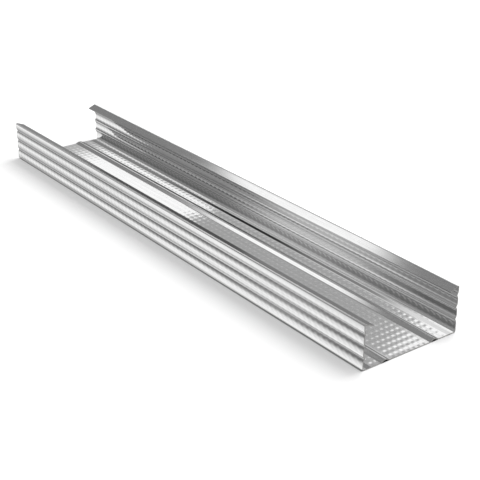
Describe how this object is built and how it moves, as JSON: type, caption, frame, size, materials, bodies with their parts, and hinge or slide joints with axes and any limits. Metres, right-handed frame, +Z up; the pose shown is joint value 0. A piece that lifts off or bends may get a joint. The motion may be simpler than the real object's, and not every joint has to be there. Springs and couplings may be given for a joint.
{
  "type": "drywall metal stud",
  "caption": "Roll-formed galvanised steel C channel stud: ribbed web, grooved flanges and inturned lips, square-cut ends, short length.",
  "frame": {"origin": "middle of the web's underside, which lies on the floor", "axes": "+X along the stud, +Y across the web towards the wide flange, +Z up out of the open side"},
  "size_m": [0.425, 0.076, 0.032],
  "materials": {
    "galvanised_steel": "bright galvanised, rolled dimples, glossy with fine streaks along the length"
  },
  "bodies": {
    "root": {"stud": "galvanised_steel"}
  },
  "joints": []
}
